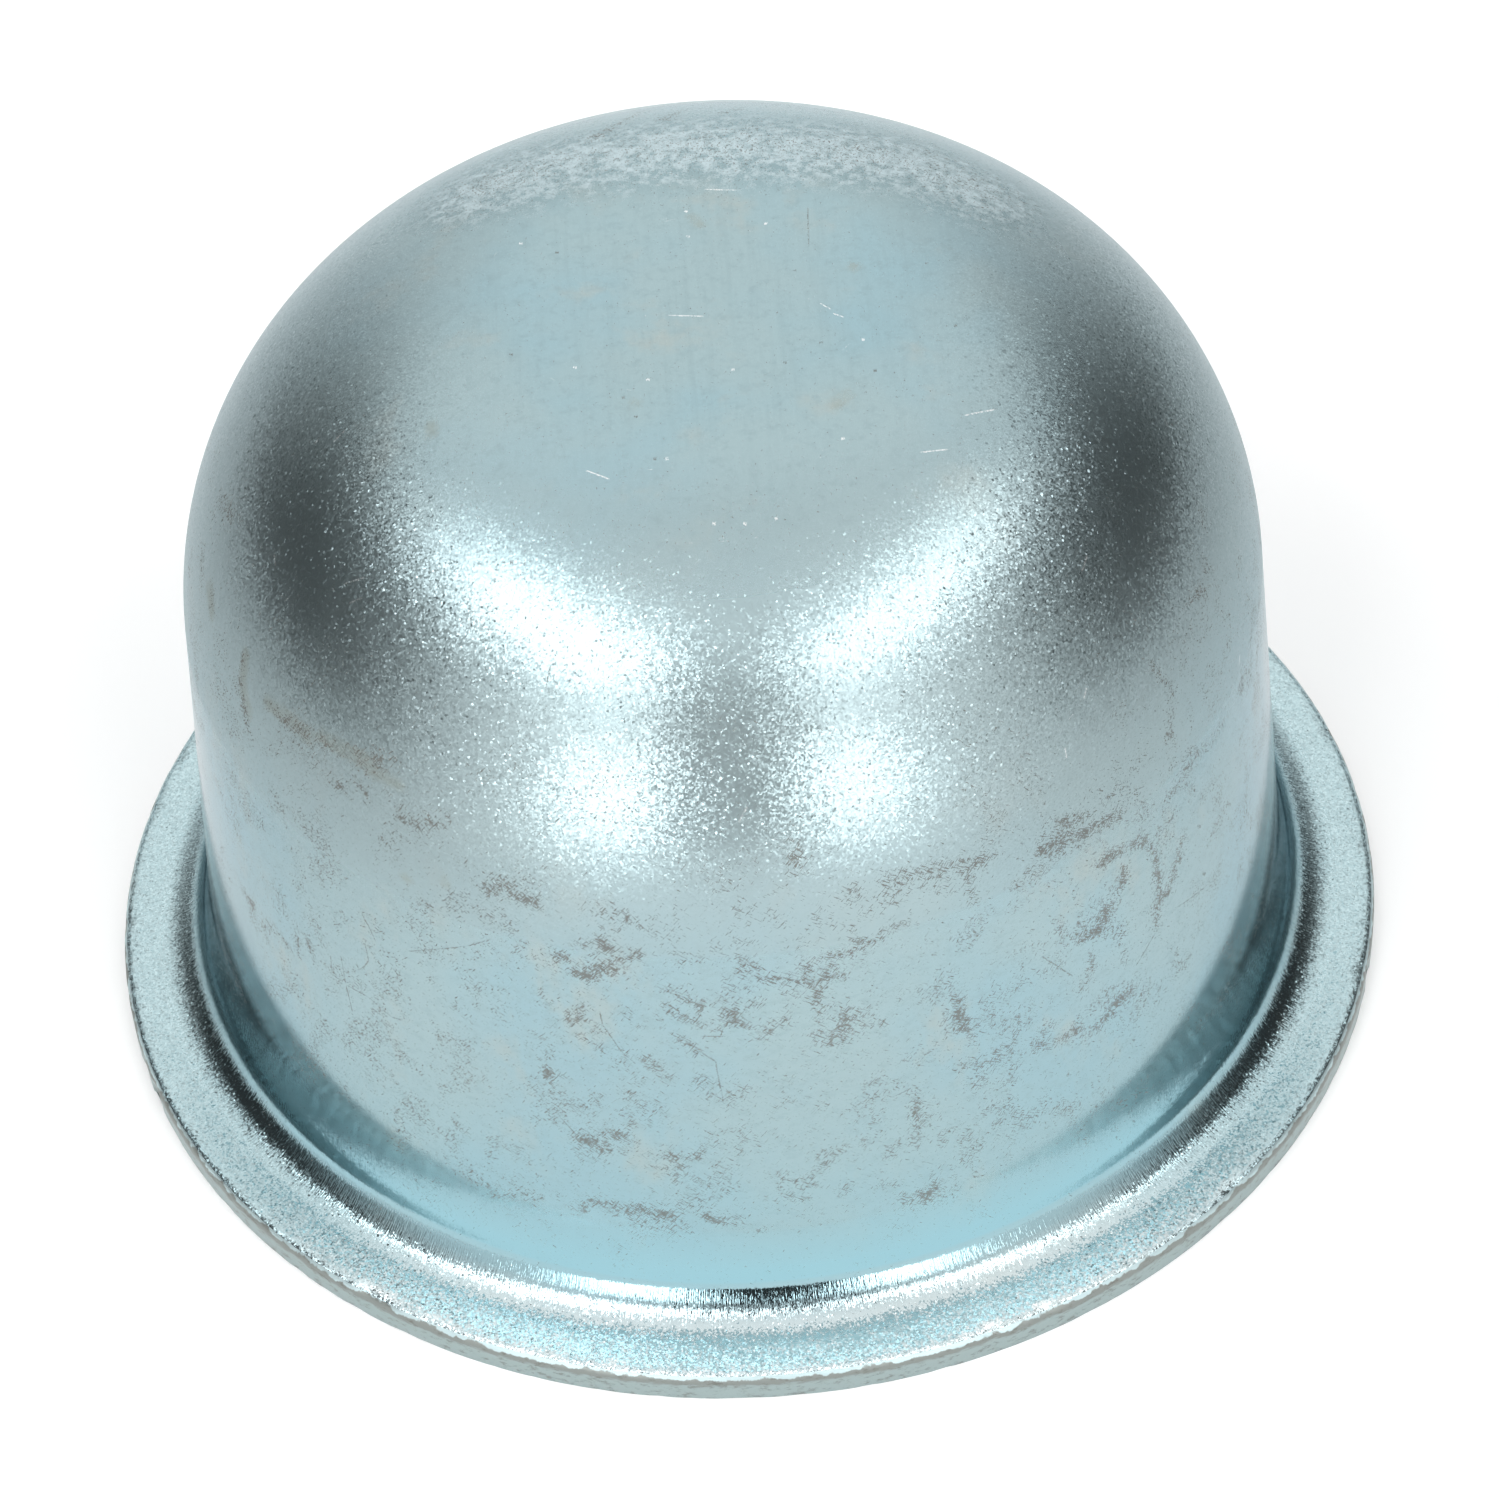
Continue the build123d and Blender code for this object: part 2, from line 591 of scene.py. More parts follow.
# %% Where the scuffs lie
scuffs = {
    "arc high on the left": [(244, 655), (240, 690), (248, 724)],
    "brown arc on the left": [(266, 705), (305, 732), (345, 752), (403, 757)],
    "dark arc on the left": [(354, 767), (400, 759)],
    "dash below the arcs": [(336, 787), (362, 786)],
    "hook left of the highlight": [(397, 814), (418, 824), (449, 822)],
    "left edge, upper": [(202, 556), (202, 586)],
    "left edge, lower": [(212, 587), (213, 610)],
    "left flecks, first": [(242, 889), (253, 905)],
    "left flecks, second": [(265, 926), (275, 928)],
    "left flecks, third": [(283, 939), (289, 947)],
    "left flecks, fourth": [(297, 938), (298, 954)],
    "left flecks, fifth": [(311, 946), (313, 959)],
    "dashes left of the middle": [(490, 892), (504, 887), (519, 899), (537, 905)],
    "stroke left of the middle": [(577, 975), (594, 974), (637, 955)],
    "diagonal scuff, thin": [(667, 988), (698, 1007)],
    "diagonal scuff, broad": [(664, 1006), (702, 1026)],
    "diagonal scuff, low": [(675, 1035), (699, 1051)],
    "tan stroke in the middle": [(724, 1103), (750, 1090)],
    "smear left of the scuffs": [(581, 1038), (600, 1047)],
    "dash left of the scuffs": [(573, 1019), (584, 1005)],
    "flecks under the scuffs": [(646, 1061), (668, 1077)],
    "low left stroke": [(579, 1112), (598, 1097)],
    "low left blob": [(585, 1140), (602, 1146)],
    "low left second blob": [(614, 1133), (630, 1142)],
    "low left third blob": [(456, 1124), (466, 1132)],
    "low middle stroke": [(672, 1154), (679, 1160), (699, 1155)],
    "patch above the flange": [(709, 1216), (724, 1222), (738, 1221)],
    "line above the flange": [(592, 1200), (622, 1209), (655, 1212), (670, 1216)],
    "low right bundle": [(777, 1177), (813, 1183)],
    "low right dots": [(814, 1176), (828, 1159), (836, 1151)],
    "low right pair": [(840, 1190), (850, 1187)],
    "right blob above the flange": [(901, 1197), (910, 1199)],
    "right stroke above the flange": [(921, 1199), (938, 1185)],
    "crossed scratches": [(888, 1156), (899, 1143)],
    "upright scratch": [(915, 1091), (915, 1111), (916, 1143)],
    "long dash on the right": [(959, 1068), (982, 1062), (1008, 1047)],
    "dense flecks, upright": [(959, 993), (961, 1014), (962, 1026), (975, 1036)],
    "big smear": [(804, 965), (847, 953), (876, 939), (905, 921)],
    "curve under the big smear": [(766, 978), (810, 980), (841, 976)],
    "flecks under the highlight": [(884, 877), (956, 867), (988, 861)],
    "smear under the highlight": [(790, 863), (804, 853)],
    "drip under the highlight": [(847, 903), (856, 886)],
    "row of dashes": [(1042, 851), (1082, 834), (1120, 813)],
    "second row of dashes": [(1062, 822), (1085, 814)],
    "hook on the right": [(1096, 864), (1118, 851), (1143, 841), (1156, 854), (1158, 892), (1157, 925)],
    "flecks inside the hook": [(1124, 869), (1125, 884)],
    "thin line beside the hook": [(1184, 834), (1177, 865), (1167, 895)],
    "flecks below the hook": [(1106, 910), (1100, 930), (1082, 939)],
    "tan flecks below the hook": [(1090, 956), (1092, 969), (1082, 989)],
    "brown patch below the row": [(1057, 925), (1064, 932)],
    "stroke low on the right": [(1133, 984), (1115, 1007), (1098, 1027)],
    "dots low on the right": [(1041, 1047), (1064, 1038), (1073, 1031)],
    "dash low on the right": [(980, 1063), (1000, 1054), (1011, 1046)],
    "line up the right side": [(1162, 807), (1195, 762), (1223, 724)],
    "flecks, right shoulder": [(1150, 664), (1172, 690), (1168, 735)],
    "dash, right shoulder": [(1185, 603), (1204, 587)],
    "brown spot on the right": [(1202, 509), (1205, 527)],
    "brown spot below it": [(1206, 560), (1208, 568)],
    "streak at the right edge": [(1242, 672), (1241, 688)],
    "scratch at the top, left": [(592, 138), (639, 113)],
    "scratch at the top, middle": [(661, 120), (685, 110)],
    "scratch at the top, right": [(723, 113), (739, 109)],
    "faint dash": [(617, 910), (642, 926)],
    "tick beside it": [(602, 937), (607, 948)],
    "cluster in the middle": [(730, 1012), (746, 1026)],
    "dashes above the middle": [(738, 959), (758, 968)],
    "thin slant in the middle": [(761, 1034), (787, 1019)],
    "upright flecks": [(818, 991), (820, 1022)],
    "tan slant in the middle": [(835, 1037), (847, 1016)],
    "flecks by the big smear": [(970, 879), (973, 899)],
    "flecks below the shade": [(771, 918), (782, 918)],
    "flecks at the far left": [(218, 495), (240, 524)],
    "fleck low on the left": [(545, 1070), (549, 1074)],
    "fleck in the left middle": [(555, 953), (560, 957)],
}
print(f"scuffs: {len(scuffs)} paths")

# %% [markdown]
# Stains are thin tan films that were left by grease and handling. Round the back of the crown the
# zinc has bloomed: it went chalky in the damp, along a band.

# %% Where the stains lie
stains = {
    "tan stain on the crown": [(632, 405), (636, 406)],
    "pink stain on the crown": [(431, 425), (432, 434)],
    "smear on the crown": [(836, 405), (848, 394)],
    "tan drop on the left": [(405, 878), (407, 878)],
    "second tan drop on the left": [(444, 881), (446, 883)],
    "stain high on the crown": [(692, 218), (700, 224)],
    "pink fleck on the crown": [(853, 266), (856, 268)],
    "tan arc on the left": [(246, 655), (243, 685), (250, 712)],
    "brown band on the left": [(268, 702), (290, 718), (310, 738)],
    "tan band below it": [(322, 735), (345, 750), (365, 760)],
    "tan patch under the bands": [(372, 772), (400, 785)],
    "tan streak at the left edge": [(208, 585), (212, 615)],
}
bloom = {
    "chalky bloom round the back": [(475, 188), (560, 161), (650, 147), (740, 143), (830, 147), (920, 162),
                                    (985, 192)],
}
print(f"stains: {len(stains)} paths, and a band of bloom")

# %% [markdown]
# To paint a path, the line of sight through its pixels is followed to the cup, so the mark lies in
# the cup's own space and holds from any side. Each point of the mesh gets a weight by how near the
# path is, and the plating breaks that weight up into flecks.

# %% Painting the marks
PATH_STEP = 18
SCUFF_REACH = 0.40 * MM
STAIN_REACH = 0.55 * MM
BLOOM_REACH = 3.8 * MM
sight_tree = bvhtree.BVHTree.FromPolygons(points, faces)


def on_cup(pixel):
    """Where the line of sight through a pixel of the photograph meets the cup, and the normal there."""
    place, normal, _, _ = sight_tree.ray_cast(eye, sight(pixel))
    return place, normal


def paint(paths, reach):
    """One weight for each point: 1 on a path, falling to 0 at reach from it."""
    places = np.array(points)
    weight = np.zeros(len(places))
    for path in paths.values():
        for first, last in zip(path, path[1:]):
            steps = max(1, round(math.dist(first, last) / PATH_STEP))
            spots = [np.array(on_cup(pixel)[0]) for pixel in np.linspace(first, last, steps + 1)]
            for a, b in zip(spots, spots[1:]):
                share = np.clip((places - a) @ (b - a) / max((b - a) @ (b - a), 1e-12), 0, 1)
                away = np.linalg.norm(places - a - share[:, None] * (b - a), axis=1)
                weight = np.maximum(weight, 1 - away / reach)
    return weight


painted = {
    "scuff": paint(scuffs, SCUFF_REACH),
    "stain": paint(stains, STAIN_REACH),
    "bloom": paint(bloom, BLOOM_REACH),
}
for name, weight in painted.items():
    keep(name, weight)
    print(f"{name}: painted on {np.count_nonzero(weight)} points")

# %% [markdown]
# Scratches are hairlines. Fresh ones cut into clean zinc and are painted near white, a painted glint
# of the lamps in their grooves, and old ones hold soil and look dark. They are straight strokes from
# pixel to pixel of the photograph, and specks are very short ones.

# %% Where the scratches lie
bright_scratches = {
    "across the crown": [(668, 315), (704, 316)],
    "near the crown's front": [(586, 470), (610, 479)],
    "crown's right, lower": [(920, 452), (948, 449)],
    "crown's right, upper": [(964, 415), (996, 409)],
    "sparkle on the crown, first": [(820, 303), (831, 309)],
    "sparkle on the crown, second": [(833, 313), (844, 317)],
    "at the crown's back": [(704, 189), (739, 190)],
    "left shoulder, long": [(333, 442), (346, 429)],
    "left shoulder, short": [(315, 443), (321, 435)],
    "left side, upright": [(274, 552), (276, 568)],
    "left pair, upper": [(343, 584), (365, 577)],
    "left pair, lower": [(349, 603), (363, 597)],
    "right shoulder": [(1164, 417), (1169, 428)],
    "right side, long": [(1088, 554), (1082, 573)],
    "right side, middle": [(1087, 688), (1084, 699)],
    "right side, low": [(1065, 747), (1067, 758)],
    "right edge": [(1240, 654), (1239, 667)],
    "between the highlights": [(738, 823), (747, 806)],
}
dark_scratches = {
    "back of the crown": [(808, 206), (809, 246)],
    "left side, upright": [(551, 665), (546, 689)],
    "curve left of the middle": [(600, 1011), (603, 1025), (613, 1039), (622, 1052), (636, 1064)],
    "dotted line in the middle": [(699, 1051), (716, 1061), (718, 1074), (722, 1094), (724, 1104)],
    "low left slant": [(563, 1120), (580, 1138)],
    "low middle dash": [(704, 1130), (714, 1135)],
    "left crack, first": [(362, 914), (370, 928), (376, 942)],
    "left crack, second": [(365, 943), (369, 961), (362, 970)],
    "left crack, third": [(331, 956), (332, 975)],
    "left crack, long": [(341, 956), (346, 984), (353, 1013)],
    "left crack, branch": [(347, 985), (367, 996), (392, 1017), (402, 1020)],
    "level line on the left": [(407, 951), (466, 946), (491, 939)],
    "dash near the left foot": [(486, 1156), (499, 1159)],
    "right slant": [(1156, 932), (1136, 966)],
    "right slant, lower": [(1042, 956), (1059, 967), (1073, 976)],
    "right dash near the foot": [(893, 1097), (913, 1087)],
    "right edge slant": [(1176, 908), (1206, 886)],
    "under the big smear": [(764, 978), (784, 979), (812, 981), (838, 976)],
    "level line under the scuffs": [(702, 1036), (724, 1036)],
    "slant right of the scuffs": [(760, 1040), (787, 1018)],
}
bright_specks = {
    "crown's far left": (521, 243),
    "crown's back": (766, 223),
    "crown's back, left": (686, 211),
    "below it": (688, 236),
    "crown's left": (575, 367),
    "left of the middle": (648, 379),
    "right of the middle": (863, 339),
    "crown's middle": (733, 369),
    "right front": (843, 438),
    "front, first": (714, 523),
    "front, second": (745, 523),
    "front, third": (776, 518),
    "front, left": (667, 458),
}
dark_specks = {
    "crown's far left": (557, 252),
    "crown's right": (927, 263),
    "crown's back": (836, 146),
    "beside the tan stain": (623, 397),
    "below the tan stain": (636, 416),
    "right of the middle": (821, 342),
    "crown's middle": (785, 362),
    "right of it": (875, 370),
    "far right": (955, 325),
    "left": (511, 354),
    "front": (655, 458),
    "left highlight, upper": (554, 577),
    "left highlight, edge": (512, 561),
    "left highlight, lower": (587, 600),
    "wall, upper left": (346, 878),
    "wall, left": (341, 911),
    "wall, lower left": (325, 1020),
    "wall, below the crack": (355, 1021),
    "beside that": (396, 1044),
    "above the left foot": (397, 1112),
    "foot, middle": (618, 1215),
    "wall, right": (1044, 803),
    "wall, upper right": (1022, 756),
    "wall, far right": (1204, 873),
    "right edge, upper": (1199, 826),
    "right edge": (1229, 804),
}
print(f"scratches: {len(bright_scratches)} bright, {len(dark_scratches)} dark")

# %% [markdown]
# Scratches are finer than the mesh. A straight stroke only needs two numbers at each point near
# it, how far across and how far along the point lies, and both change evenly over a face, so even
# a coarse mesh carries a hairline exactly. A third number is 1 for a bright stroke and -1 for a
# dark one. Strokes that lie close together are kept in separate layers.

# %% Layers of scratches
SCRATCH_HALF_WIDTH = 0.026 * MM
SPECK_HALF_WIDTH = 0.055 * MM
SPECK_PIXELS = 2
STROKE_REACH = 0.8 * MM
FAR_AWAY = 60.0

strokes = []
for paths, tone in ((bright_scratches, 1), (dark_scratches, -1)):
    for path in paths.values():
        strokes += [(first, last, tone, SCRATCH_HALF_WIDTH) for first, last in zip(path, path[1:])]
for spots, tone in ((bright_specks, 1), (dark_specks, -1)):
    for x, y in spots.values():
        strokes.append(((x - SPECK_PIXELS, y), (x + SPECK_PIXELS, y), tone, SPECK_HALF_WIDTH))

places = np.array(points)
layers = []
for first, last, tone, half_width in strokes:
    start, normal = on_cup(first)
    end, _ = on_cup(last)
    half = (end - start) / 2
    offset = places - np.array((start + end) / 2)
    across = offset @ np.array(normal.cross(half).normalized())
    lengthwise = offset @ np.array(half.normalized())
    near = (abs(across) < STROKE_REACH) & (abs(lengthwise) < half.length + STROKE_REACH)
    near &= abs(offset @ np.array(normal)) < STROKE_REACH
    layer = next((kept for kept in layers if not kept[near, 2].any()), None)
    if layer is None:
        layer = np.full((len(points), 3), FAR_AWAY) * (1, 1, 0)
        layers.append(layer)
    tones = np.full(len(points), tone)
    layer[near] = np.stack([across / half_width, lengthwise / half.length, tones], 1)[near]
for k, layer in enumerate(layers):
    kept = cup_mesh.attributes.new(f"scratches {k}", "FLOAT_VECTOR", "POINT")
    kept.data.foreach_set("vector", layer.astype(np.float32).ravel())
print(f"scratches: {len(strokes)} strokes in {len(layers)} layers")

# %% [markdown]
# Bright zinc with a blue passivate is a pale blue mirror that has gone satin. Its colour drifts a
# little from place to place with the thickness of the passivate, towards cream in patches. It is
# greyer on the peeled nose and bluer at the foot. The frosted flange is made of tiny facets, cells
# of a Voronoi pattern, and each cell's chance colour says how pale it is. Its near side, which faces
# the camera and the strip lights, is painted near white: a painted highlight.

# %% Plating: colour
PLATE_BLUE = (0.328, 0.477, 0.523, 1)
PLATE_GREY = (0.360, 0.480, 0.503, 1)
PLATE_CREAM = (0.443, 0.471, 0.434, 1)
PLATE_DULL = (0.275, 0.379, 0.403, 1)
PLATE_TEAL = (0.310, 0.530, 0.595, 1)
PLATE_PEEL = (0.386, 0.484, 0.502, 1)
FROST_DARK = (0.430, 0.580, 0.610, 1)
FROST_LIGHT = (0.630, 0.805, 0.835, 1)
# Near white for the flange's near side: a painted highlight.
FLANGE_PAINTED_HIGHLIGHT = (0.930, 0.970, 0.965, 1)
GRAZING_TINT = (0.82, 0.86, 0.88, 1)
DRIFT_SIZE = 9 * MM
PATCH_SIZE = 4 * MM
MOTTLE_SIZE = 0.55 * MM
STRIP_LINE_SIZE = 0.30 * MM
FACET_SIZE = 0.065 * MM
highlight_from = -0.55 * rim_radius
highlight_to = -0.95 * rim_radius

plate, tree, shader = material_of("blue zinc plate")
shader.inputs["Specular Tint"].default_value = GRAZING_TINT
place = node(tree, "TexCoord").outputs["Object"]
weights = {
    name: node(tree, "Attribute", attribute_name=name).outputs["Fac"]
    for name in (*profiles, *painted)
}
around = node(tree, "Attribute", attribute_name="unrolled").outputs["Vector"]


def noise_of(tree, vector, size, detail, roughness):
    """Noise whose lumps are about that size, from 0 to 1."""
    inputs = {"Vector": vector, "Scale": 1 / size, "Detail": detail, "Roughness": roughness}
    return node(tree, "TexNoise", inputs).outputs["Fac"]


def stretched(tree, vector, factors):
    """The place with each axis scaled, so noise on it comes out long or short that way."""
    return node(tree, "VectorMath", {0: vector, 1: factors}, operation="MULTIPLY").outputs["Vector"]


drift = noise_of(tree, place, DRIFT_SIZE, 3.0, 0.55)
tint = blend(tree, ramp(tree, drift, 0.40, 0.62), PLATE_BLUE, PLATE_GREY)
patches = noise_of(tree, stretched(tree, place, (1.0, 1.0, 0.6)), PATCH_SIZE, 4.0, 0.65)
tint = blend(tree, ramp(tree, patches, 0.54, 0.72, 0.0, 0.5), tint, PLATE_CREAM)
mottle = noise_of(tree, stretched(tree, place, (1.0, 1.0, 1.6)), MOTTLE_SIZE, 5.0, 0.75)
tint = blend(tree, ramp(tree, mottle, 0.46, 0.72, 0.0, 0.45), tint, PLATE_DULL)
strip_lines = noise_of(tree, stretched(tree, place, (1.0, 0.05, 1.0)), STRIP_LINE_SIZE, 3.0, 0.6)
lined = ramp(tree, strip_lines, 0.45, 0.75, 0.0, 0.22)
tint = blend(tree, times(tree, weights["rolled"], lined), tint, PLATE_DULL)
tint = blend(tree, weights["blued"], tint, PLATE_TEAL)
tint = blend(tree, weights["peeled"], tint, PLATE_PEEL)
facets = node(tree, "TexVoronoi", {"Vector": place, "Scale": 1 / FACET_SIZE}).outputs["Color"]
facet_tone = node(tree, "SeparateColor", {"Color": facets}).outputs["Green"]
frost = blend(tree, facet_tone, FROST_DARK, FROST_LIGHT)
towards_back = node(tree, "SeparateXYZ", {"Vector": place}).outputs["Y"]
# Painted highlight: the flange is blended towards near white on its near side, which faces the camera.
near_side_highlight = ramp(tree, towards_back, highlight_to, highlight_from, 0.8, 0.0)
frost = blend(tree, near_side_highlight, frost, FLANGE_PAINTED_HIGHLIGHT)
tint = blend(tree, weights["frost"], tint, frost)
print("plating: blue zinc that drifts to grey and cream")

# %% [markdown]
# Soil sits in the scuffs as brown grey flecks. The painted weight says where flecks may show, and a
# fine noise of dashes says which of them do. A scatter of single flecks lies over the rest of the
# cap, in clusters. The bloom is a chalky crust on duller zinc.

# %% Plating: soil and bloom
CHALK = (0.63, 0.74, 0.77, 1)
FLECK_SIZE = 0.085 * MM
FLECK_SLANTS = (35, -50)
CLUSTER_SIZE = 2.0 * MM
CRUST_SIZE = 0.45 * MM
SCUFF_LIFT = 0.14
BLOOM_LIFT = 0.10
SCATTER_LIFT = 0.042
CLUSTER_LIFT = 0.127


def dashes(tree, slant):
    """Noise of short thin dashes that lie at that slant, in degrees, on the front of the cap."""
    inputs = {"Vector": place, "Rotation": (0, math.radians(slant), 0), "Scale": (3.4, 1.4, 0.55)}
    turned = node(tree, "Mapping", inputs, vector_type="TEXTURE").outputs["Vector"]
    return noise_of(tree, turned, FLECK_SIZE, 2.5, 0.65)


flecks = math_of(tree, "MAXIMUM", *(dashes(tree, slant) for slant in FLECK_SLANTS))
clusters = noise_of(tree, place, CLUSTER_SIZE, 4.0, 0.65)
scatter = ramp(tree, clusters, 0.46, 0.62, SCATTER_LIFT, CLUSTER_LIFT)
soil_level = flecks
for weight, lift in (("scuff", SCUFF_LIFT), ("worn", scatter), ("bloom", BLOOM_LIFT)):
    soil_level = plus(tree, soil_level, weights[weight], lift)
soiled = ramp(tree, soil_level, 0.69, 0.76)

crust = noise_of(tree, stretched(tree, place, (1.0, 1.0, 1.5)), CRUST_SIZE, 6.0, 0.78)
crust = plus(tree, crust, weights["bloom"], 0.16)
bloomed = ramp(tree, weights["bloom"], 0.0, 0.6)
chalky = times(tree, ramp(tree, crust, 0.50, 0.74, 0.0, 0.9), bloomed)
tint = blend(tree, times(tree, bloomed, 0.8), tint, PLATE_DULL)
tint = blend(tree, chalky, tint, CHALK)
print("plating: soil in flecks, and a chalky bloom")

# %% [markdown]
# Each layer of scratches gives back its three numbers: across, along and tone. A scratch shows
# where across is less than about 1, it stops where along passes 1, and the noise of the flecks
# makes it unsteady and dotted. Bright ones add up to a painted glint on fresh zinc, and dark ones
# to soil.

# %% Plating: scratches
shaken = ramp(tree, flecks, 0.3, 0.7, -1.0, 1.0)
dotted = ramp(tree, flecks, 0.47, 0.60, 0.1, 1.0)
# Bright strokes gather into a painted glint on fresh zinc.
fresh_glint = 0.0
for k in range(len(layers)):
    kept = node(tree, "Attribute", attribute_name=f"scratches {k}").outputs["Vector"]
    stroke = node(tree, "SeparateXYZ", {"Vector": kept}).outputs
    unsteady = math_of(tree, "ABSOLUTE", math_of(tree, "ADD", stroke["X"], shaken))
    drawn = ramp(tree, unsteady, 0.5, 1.4, 1.0, 0.0)
    ends = ramp(tree, math_of(tree, "ABSOLUTE", stroke["Y"]), 0.75, 1.05, 1.0, 0.0)
    for factor in (dotted, ends, stroke["Z"]):
        drawn = times(tree, drawn, factor)
    fresh_glint = math_of(tree, "ADD", fresh_glint, math_of(tree, "MAXIMUM", drawn, 0.0))
    soiled = math_of(tree, "MAXIMUM", soiled, times(tree, drawn, -0.9))
print(f"plating: {len(layers)} layers of scratches")

# %% [markdown]
# Now the marks go over the plate's colour. Soil isn't metal, so where it lies the shader is less
# metallic and rougher. Stains and chalk are rougher too.

# %% Plating: marks on the plate
STAIN_TAN = (0.335, 0.370, 0.330, 1)
SOIL = (0.130, 0.125, 0.110, 1)
# Near white for the bright scratches and specks: fresh zinc with a painted glint.
FRESH_ZINC_GLINT = (0.93, 0.95, 0.95, 1)
SOIL_COVER = 0.82
GLINT_COVER = 0.7

spread = plus(tree, weights["stain"], weights["scuff"], 0.35)
spread = plus(tree, spread, flecks, 0.9)
stained = ramp(tree, spread, 0.75, 1.5, 0.0, 0.5)
tint = blend(tree, stained, tint, STAIN_TAN)
tint = blend(tree, times(tree, soiled, SOIL_COVER), tint, SOIL)
tint = blend(tree, math_of(tree, "MINIMUM", fresh_glint, GLINT_COVER), tint, FRESH_ZINC_GLINT)
tree.links.new(tint, shader.inputs["Base Color"])
less_metal = math_of(tree, "SUBTRACT", 1.0, times(tree, soiled, 0.5))
tree.links.new(less_metal, shader.inputs["Metallic"])
dull = weights["satin"]
for mark, roughening in ((soiled, 0.22), (stained, 0.12), (chalky, 0.35)):
    dull = plus(tree, dull, mark, roughening)
tree.links.new(dull, shader.inputs["Roughness"])
print("plating: marks are on")

# %% [markdown]
# The peel of the nose and the frost of the flange are facets less than a tenth of a millimetre wide.
# They tilt enough for one to catch a softbox while its neighbour shows a black flag, and that is
# the sparkle. Each facet is a cell of a Voronoi pattern, and the cell's own chance colour, less a
# half, is the way it leans. One cell in seven of a second pattern leans much more, and glints.
# Where the steel was wiped over the die, the grain is drawn out along the section.

# %% Plating: grain
FACET_LEAN = 0.15
GLINT_SIZE = 0.075 * MM
GLINT_LEAN = 0.38
GLINT_SHARE = 0.15
WIPE_SIZE = 0.075 * MM
WIPE_DEPTH = 0.014 * MM


def vector_of(tree, operation, a, b):
    """One sum on two vectors, or on a vector and a scale, as a socket."""
    second = "Scale" if operation == "SCALE" else 1
    return node(tree, "VectorMath", {0: a, second: b}, operation=operation).outputs["Vector"]


lean = vector_of(tree, "SUBTRACT", facets, (0.5, 0.5, 0.5))
lean = vector_of(tree, "SCALE", lean, times(tree, weights["grain"], FACET_LEAN))
glints = node(tree, "TexVoronoi", {"Vector": place, "Scale": 1 / GLINT_SIZE}).outputs["Color"]
chance = node(tree, "SeparateColor", {"Color": glints}).outputs
glint = node(tree, "CombineXYZ", {"X": chance["Green"], "Y": chance["Blue"], "Z": 0.5}).outputs["Vector"]
glint = vector_of(tree, "SUBTRACT", glint, (0.5, 0.5, 0.5))
chosen = math_of(tree, "LESS_THAN", chance["Red"], GLINT_SHARE)
chosen = times(tree, chosen, math_of(tree, "MINIMUM", weights["grain"], 1.0))
glint = vector_of(tree, "SCALE", glint, times(tree, chosen, GLINT_LEAN))
leaning = vector_of(tree, "ADD", lean, glint)
grain = vector_of(tree, "ADD", node(tree, "NewGeometry").outputs["Normal"], leaning)
grain = node(tree, "VectorMath", {0: grain}, operation="NORMALIZE").outputs["Vector"]
wiped = noise_of(tree, stretched(tree, around, (1.0, 1.0, 0.16)), WIPE_SIZE, 2.0, 0.6)
lines = {"Height": wiped, "Strength": weights["draw_lines"], "Distance": WIPE_DEPTH, "Normal": grain}
wiping = node(tree, "Bump", lines)
tree.links.new(wiping.outputs["Normal"], shader.inputs["Normal"])
print(f"plating: facets of {FACET_SIZE / MM:.3f} mm")

# %% [markdown]
# The trimming die leaves the rim's edge raw. Its upper part is torn, dull and brown, and its lower
# part is smeared smooth by the die, with fine marks round the rim. The zinc over it is thin.

# %% Sheared edge
EDGE_SMEARED = (0.36, 0.44, 0.44, 1)
EDGE_TORN = (0.29, 0.315, 0.30, 1)
EDGE_PIT = (0.17, 0.165, 0.145, 1)
EDGE_LIP = (0.56, 0.69, 0.71, 1)
SCORE_SIZE = 0.16 * MM
SCORE_DEPTH = 0.02 * MM
LIP_SIZE = 0.35 * MM
PIT_SIZE = 0.22 * MM
RAGGED = 0.5 * MM
torn_from = 0.92 * MM
torn_to = 1.12 * MM
lip_from = 1.29 * MM
lip_to = 1.35 * MM

edge, tree, shader = material_of("sheared edge")
shader.inputs["Metallic"].default_value = 1.0
place = node(tree, "TexCoord").outputs["Object"]
height = node(tree, "SeparateXYZ", {"Vector": place}).outputs["Z"]
score = noise_of(tree, stretched(tree, place, (0.30, 0.30, 1.0)), SCORE_SIZE, 3.0, 0.65)
ragged = plus(tree, height, score, RAGGED)
torn = ramp(tree, ragged, torn_from, torn_to)
waves = noise_of(tree, stretched(tree, place, (0.6, 0.6, 0.2)), LIP_SIZE, 3.0, 0.6)
wavy = plus(tree, height, waves, RAGGED)
lipped = ramp(tree, wavy, lip_from, lip_to)
pits = noise_of(tree, stretched(tree, place, (0.5, 0.5, 1.0)), PIT_SIZE, 4.0, 0.7)
finish = blend(tree, torn, EDGE_SMEARED, EDGE_TORN)
finish = blend(tree, ramp(tree, pits, 0.50, 0.68, 0.0, 0.6), finish, EDGE_PIT)
finish = blend(tree, lipped, finish, EDGE_LIP)
tree.links.new(finish, shader.inputs["Base Color"])
tree.links.new(ramp(tree, torn, 0.0, 1.0, 0.36, 0.5), shader.inputs["Roughness"])
scored = node(tree, "Bump", {"Height": score, "Distance": SCORE_DEPTH, "Strength": 0.5})
tree.links.new(scored.outputs["Normal"], shader.inputs["Normal"])
print("edge: torn above, smeared below")

# %% [markdown]
# Inside, the punch wiped the steel dry and the plating is thinner, so it is greyer and duller, with
# draw lines from the mouth to the crown.

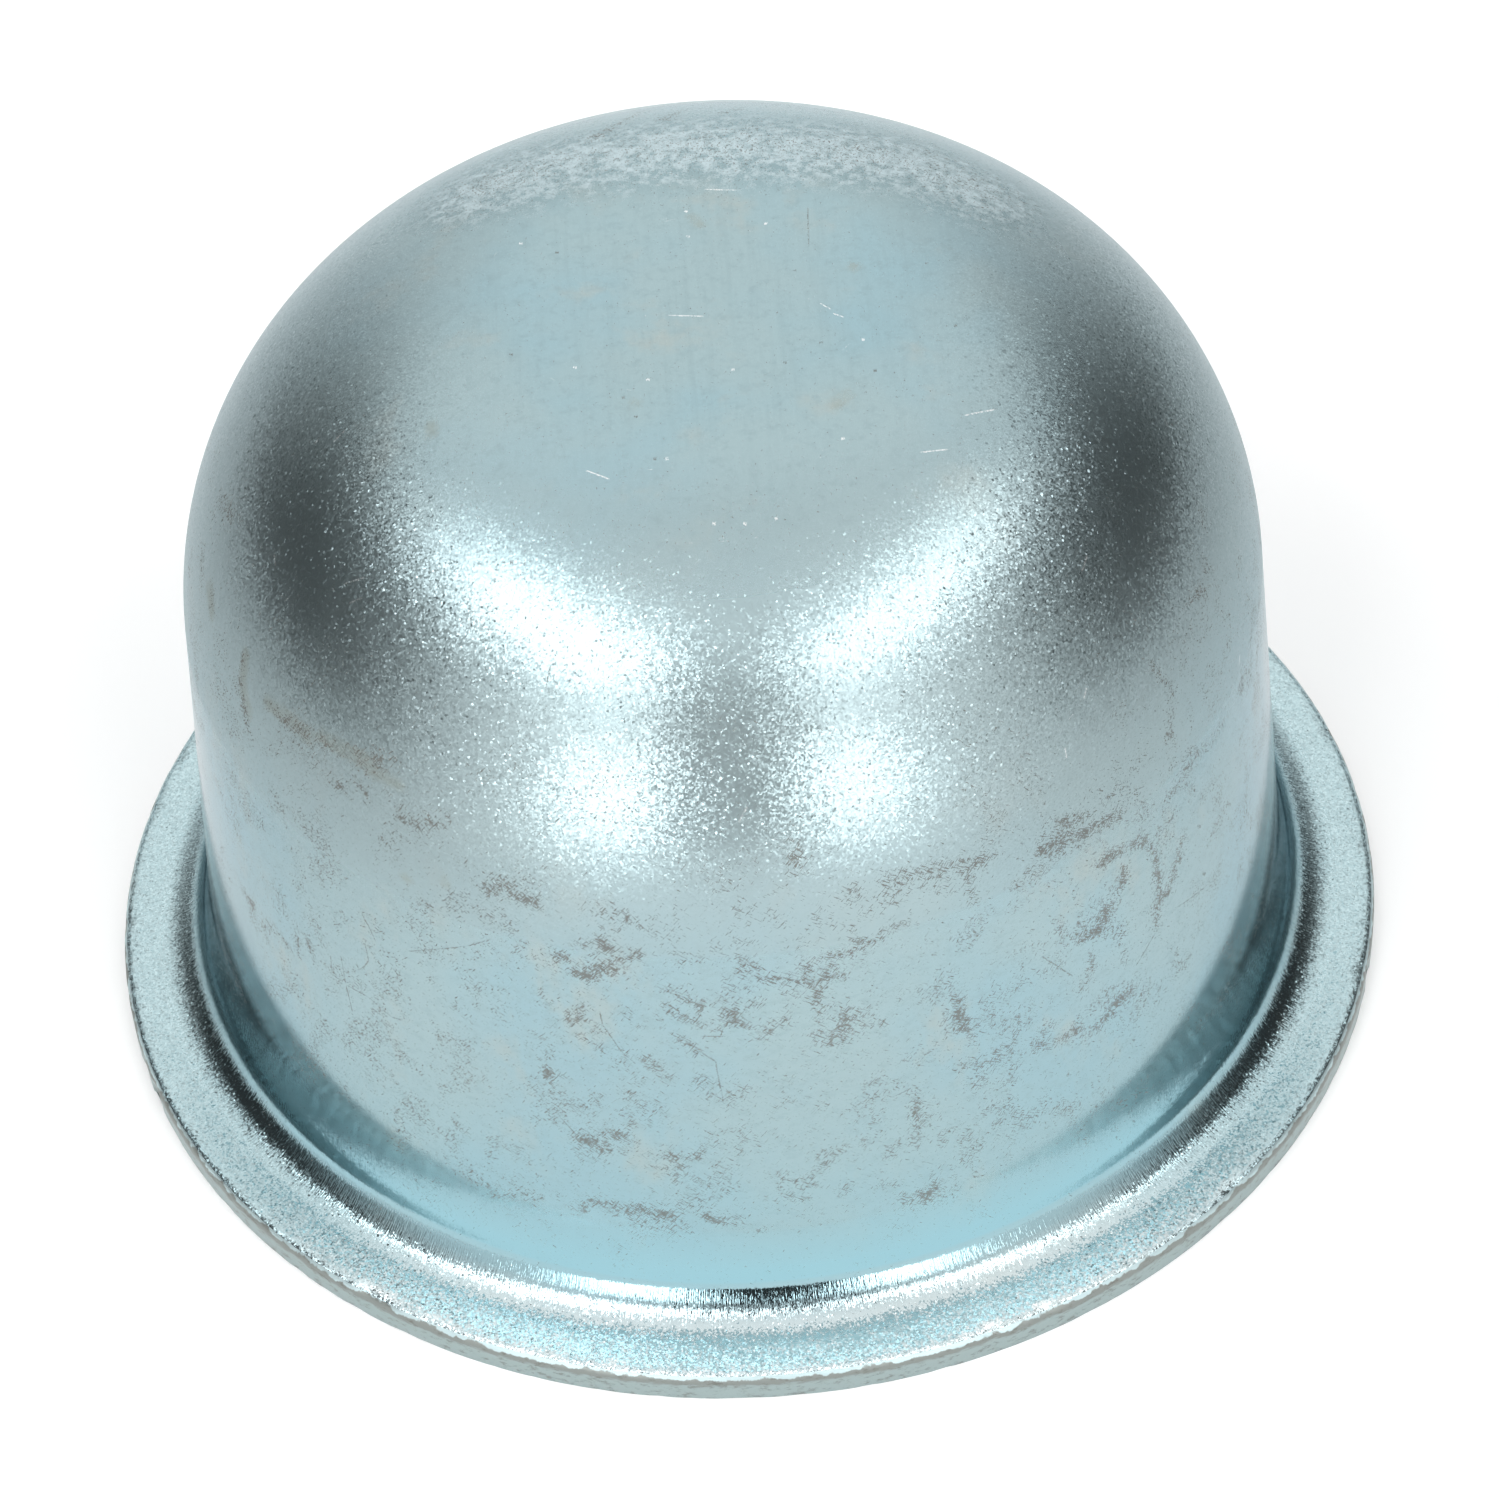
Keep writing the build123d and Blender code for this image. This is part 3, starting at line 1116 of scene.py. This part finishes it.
# %% Inside plate
INSIDE_GREY = (0.37, 0.47, 0.49, 1)
INSIDE_PALE = (0.44, 0.52, 0.52, 1)
INSIDE_DRIFT_SIZE = 7 * MM
INSIDE_LINE_SIZE = 0.25 * MM
INSIDE_LINE_DEPTH = 0.02 * MM

inner, tree, shader = material_of("inside plate")
shader.inputs["Metallic"].default_value = 1.0
place = node(tree, "TexCoord").outputs["Object"]
drift = noise_of(tree, place, INSIDE_DRIFT_SIZE, 3.0, 0.6)
tree.links.new(blend(tree, drift, INSIDE_GREY, INSIDE_PALE), shader.inputs["Base Color"])
tree.links.new(ramp(tree, drift, 0.3, 0.7, 0.30, 0.40), shader.inputs["Roughness"])
around = node(tree, "Attribute", attribute_name="unrolled").outputs["Vector"]
wiped = noise_of(tree, stretched(tree, around, (1.0, 1.0, 0.06)), INSIDE_LINE_SIZE, 2.0, 0.6)
wiping = node(tree, "Bump", {"Height": wiped, "Distance": INSIDE_LINE_DEPTH, "Strength": 0.5})
tree.links.new(wiping.outputs["Normal"], shader.inputs["Normal"])
print("inside: grey plate with draw lines")

# %% [markdown]
# A mesh can hold several finishes, and each face says by a number which one it takes. Here that
# goes by where the face is on the section. The sheared edge begins halfway round the die roll.

# %% Finish of each face
PLATED = 0
SHEARED = 1
INSIDE = 2
for finish in (plate, edge, inner):
    cup_mesh.materials.append(finish)


def finish_of(ring):
    """The finish of the faces that end at that ring."""
    name, share, outside = ring[4:]
    if name in ("cut face", "burr") or (name == "die roll" and share > 0.5):
        return SHEARED
    return PLATED if outside and name != "underside" else INSIDE


ring_finishes = np.repeat([finish_of(ring) for ring in rings[1:]], AROUND)
finish_index = [PLATED] * AROUND + list(ring_finishes) + [INSIDE] * AROUND
cup_mesh.polygons.foreach_set("material_index", finish_index)
print("faces:", [finish_index.count(i) for i in range(3)], "plated, sheared and inside")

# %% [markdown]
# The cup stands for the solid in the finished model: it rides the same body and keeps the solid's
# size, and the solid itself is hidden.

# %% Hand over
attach(cup, "root")
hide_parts("grease_cap")
